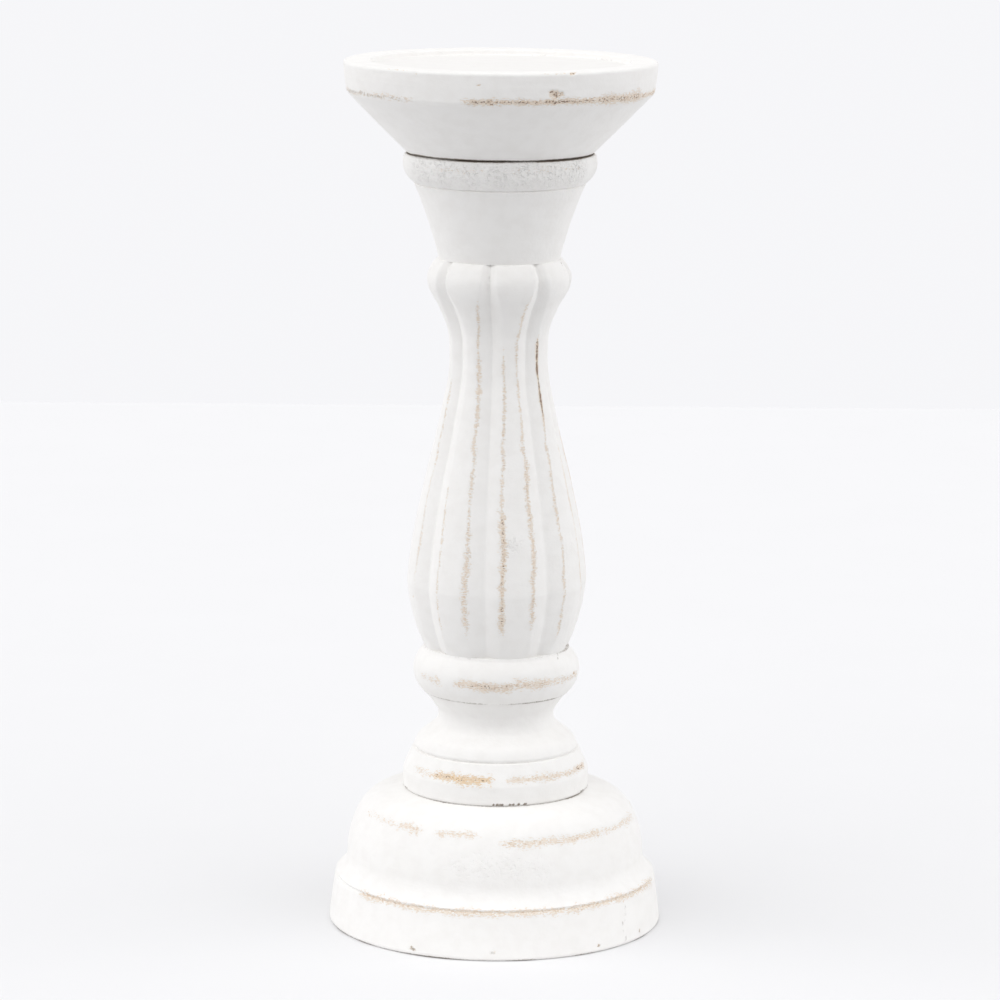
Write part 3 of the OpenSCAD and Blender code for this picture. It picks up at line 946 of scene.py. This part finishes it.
# Half the floor's width, its near end, where it starts to send light back, and its far end, in m
FLOOR_SIDE, FLOOR_NEAR, FLOOR_SPLIT, FLOOR_FAR = 6, -6, -0.19, 1.12
# Lights as (name, azimuth, height, strength), with angles in degrees
LIGHTS = (("upper_left_light", -61, 46, 1.18), ("upper_right_light", 62, 46, 0.93))
# The camera's far limit, the point that it circles and the point that it aims at, in m
CLIP_END = 50.0
SENSOR_WIDTH = 36.0
CENTRE, AIM = Vector((0, 0, 0.15)), Vector((0.00085, 0, 0.1483))


def studio_floor(stage):
    """A large pale floor with a faint mottle. Its front part sends no light back to the object."""
    g = Graph("studio_floor")
    mottle = g.noise(60.0, 2.0)
    shade = tuple(0.985 * c for c in stage.floor)
    colour = g.blend(mottle, rgba(stage.floor), rgba(shade))
    paper = g.finish(Base_Color=colour, Roughness=0.9, Specular_IOR_Level=0.1)
    for name, near, far in (
        ("studio_floor_front", FLOOR_NEAR, FLOOR_SPLIT),
        ("studio_floor_back", FLOOR_SPLIT, FLOOR_FAR),
    ):
        mesh = bpy.data.meshes.new(name)
        left, right = -FLOOR_SIDE, FLOOR_SIDE
        corners = [(left, near, 0), (right, near, 0), (right, far, 0), (left, far, 0)]
        mesh.from_pydata(corners, [], [(0, 1, 2, 3)])
        mesh.materials.append(paper)
        floor = bpy.data.objects.new(name, mesh)
        floor.visible_diffuse = near == FLOOR_SPLIT
        bpy.context.scene.collection.objects.link(floor)


def studio_sun(name, azimuth, height, strength, stage):
    """A broad soft light from far away. Azimuth 0 is in front and 90 on the right, in degrees."""
    light = bpy.data.lights.new(name, "SUN")
    light.energy, light.angle = strength, stage.softness
    lamp = bpy.data.objects.new(name, light)
    lamp.rotation_euler = (math.radians(90 - height), 0, math.radians(azimuth))
    bpy.context.scene.collection.objects.link(lamp)


# The surround's soft borders, as spans of a direction's height or of its part along Y. It is darkest low in
# the sky in front, and dimmer in front below the horizon, where the floor sends no light
LOW_SKY, HORIZON, DOWNWARD, OVERHEAD = (0.2, 0.32), (-0.06, -0.01), (-0.85, -0.3), (0.3, 0.95)
AHEAD, FORWARD = (-0.9, -0.75), (-0.3, -0.14)
DARKEST, STEEP_LIGHT, SHALLOW_LIGHT = 0.05, 0.9, 0.75


def studio_world(stage):
    """A pale surround that gives most of the light, less bright overhead and dark low down in front."""
    world = bpy.data.worlds.new("studio_surround")
    world.use_nodes = True
    nodes, links = world.node_tree.nodes, world.node_tree.links
    split = nodes.new("ShaderNodeSeparateXYZ")
    links.new(nodes.new("ShaderNodeTexCoord").outputs["Generated"], split.inputs[0])

    def ramp(axis, span, first, last):
        """A soft step along an axis of the direction, from first to last over the span."""
        node = nodes.new("ShaderNodeMapRange")
        node.interpolation_type = "SMOOTHSTEP"
        for socket, value in zip(node.inputs[1:5], (*span, first, last)):
            socket.default_value = value
        links.new(split.outputs[axis], node.inputs["Value"])
        return node.outputs["Result"]

    def joined(first, second, operation):
        """Two values put together."""
        node = nodes.new("ShaderNodeMath")
        node.operation = operation
        links.new(first, node.inputs[0])
        links.new(second, node.inputs[1])
        return node.outputs[0]

    upright = joined(ramp("Z", LOW_SKY, 0, 1), ramp("Y", AHEAD, DARKEST, 1), "MAXIMUM")
    behind = joined(ramp("Z", HORIZON, 0, 1), ramp("Y", FORWARD, 0, 1), "MAXIMUM")
    ground = joined(behind, ramp("Z", DOWNWARD, STEEP_LIGHT, SHALLOW_LIGHT), "MAXIMUM")
    strength = joined(joined(upright, ground, "MINIMUM"), ramp("Z", OVERHEAD, 1, stage.zenith), "MULTIPLY")
    background = nodes["Background"]
    background.inputs["Color"].default_value = rgba(stage.backdrop)
    links.new(strength, background.inputs["Strength"])
    bpy.context.scene.world = world


def studio_camera(stage):
    """The camera, aimed a little off the middle and rolled a little."""
    camera = bpy.data.objects.new("studio_camera", bpy.data.cameras.new("studio_camera"))
    camera.data.lens, camera.data.sensor_width = stage.lens, SENSOR_WIDTH
    camera.data.clip_end = CLIP_END
    place = Vector((0, -math.cos(stage.pitch), math.sin(stage.pitch))) * stage.distance + CENTRE
    turn = (AIM - place).to_track_quat("-Z", "Y").to_matrix().to_4x4()
    camera.matrix_world = Matrix.Translation(place) @ turn @ Matrix.Rotation(stage.roll, 4, "Z")
    bpy.context.scene.collection.objects.link(camera)
    bpy.context.scene.camera = camera


def build_stage():
    """Floor, lights, surround and camera."""
    stage = bpy.context.scene.candlestick_stage
    studio_floor(stage)
    studio_world(stage)
    for light in LIGHTS:
        studio_sun(*light, stage)
    studio_camera(stage)
    bpy.context.scene.view_settings.view_transform = "Standard"


# ---- operators and panel


class CANDLESTICK_OT_dish(bpy.types.Operator):
    """Turn the candle dish"""

    bl_idname = "candlestick.dish"
    bl_label = "Candle Dish"

    def execute(self, context):
        build_dish()
        return {"FINISHED"}


class CANDLESTICK_OT_capital(bpy.types.Operator):
    """Turn the capital"""

    bl_idname = "candlestick.capital"
    bl_label = "Capital"

    def execute(self, context):
        build_capital()
        return {"FINISHED"}


class CANDLESTICK_OT_body(bpy.types.Operator):
    """Carve the fluted body"""

    bl_idname = "candlestick.body"
    bl_label = "Fluted Body"

    def execute(self, context):
        build_body()
        return {"FINISHED"}


class CANDLESTICK_OT_stem(bpy.types.Operator):
    """Turn the lower stem"""

    bl_idname = "candlestick.stem"
    bl_label = "Lower Stem"

    def execute(self, context):
        build_stem()
        return {"FINISHED"}


class CANDLESTICK_OT_plinth(bpy.types.Operator):
    """Turn the plinth"""

    bl_idname = "candlestick.plinth"
    bl_label = "Plinth"

    def execute(self, context):
        build_plinth()
        return {"FINISHED"}


class CANDLESTICK_OT_felt(bpy.types.Operator):
    """Cut the felt disc"""

    bl_idname = "candlestick.felt"
    bl_label = "Base Felt"

    def execute(self, context):
        build_felt()
        return {"FINISHED"}


class CANDLESTICK_OT_fixings(bpy.types.Operator):
    """Finish the dowels, the screw and its washer"""

    bl_idname = "candlestick.fixings"
    bl_label = "Dowels and Screw"

    def execute(self, context):
        finish_fixings()
        return {"FINISHED"}


class CANDLESTICK_OT_stage(bpy.types.Operator):
    """Set up the floor, the lights and the camera"""

    bl_idname = "candlestick.stage"
    bl_label = "Stage"

    def execute(self, context):
        build_stage()
        return {"FINISHED"}


STEPS = (
    CANDLESTICK_OT_dish,
    CANDLESTICK_OT_capital,
    CANDLESTICK_OT_body,
    CANDLESTICK_OT_stem,
    CANDLESTICK_OT_plinth,
    CANDLESTICK_OT_felt,
    CANDLESTICK_OT_fixings,
    CANDLESTICK_OT_stage,
)


class CANDLESTICK_PT_panel(bpy.types.Panel):
    """Settings and steps for the candlestick"""

    bl_idname = "CANDLESTICK_PT_panel"
    bl_label = "Candlestick"
    bl_space_type = "VIEW_3D"
    bl_region_type = "UI"
    bl_category = "Candlestick"

    def draw(self, context):
        for owner in SETTINGS:
            box = self.layout.box()
            for key in owner[1].__annotations__:
                box.prop(getattr(context.scene, owner[0]), key)
        for step in STEPS:
            self.layout.operator(step.bl_idname)


SETTINGS = (
    ("candlestick_turning", TurningSizes),
    ("candlestick_paint", PaintColours),
    ("candlestick_stage", StageSettings),
)


def register():
    for _, group in SETTINGS:
        bpy.utils.register_class(group)
    for kind in (*STEPS, CANDLESTICK_PT_panel):
        bpy.utils.register_class(kind)
    for name, group in SETTINGS:
        setattr(bpy.types.Scene, name, PointerProperty(type=group))


def unregister():
    for name, _ in SETTINGS:
        delattr(bpy.types.Scene, name)
    for kind in (CANDLESTICK_PT_panel, *reversed(STEPS)):
        bpy.utils.unregister_class(kind)
    for _, group in reversed(SETTINGS):
        bpy.utils.unregister_class(group)


def run_step(step):
    """Runs one operator by its name."""
    group, name = step.bl_idname.split(".")
    if getattr(getattr(bpy.ops, group), name)() != {"FINISHED"}:
        raise RuntimeError(f"{step.bl_idname} did not finish")


def main():
    register()
    for step in STEPS:
        run_step(step)


if __name__ == "__main__":
    main()
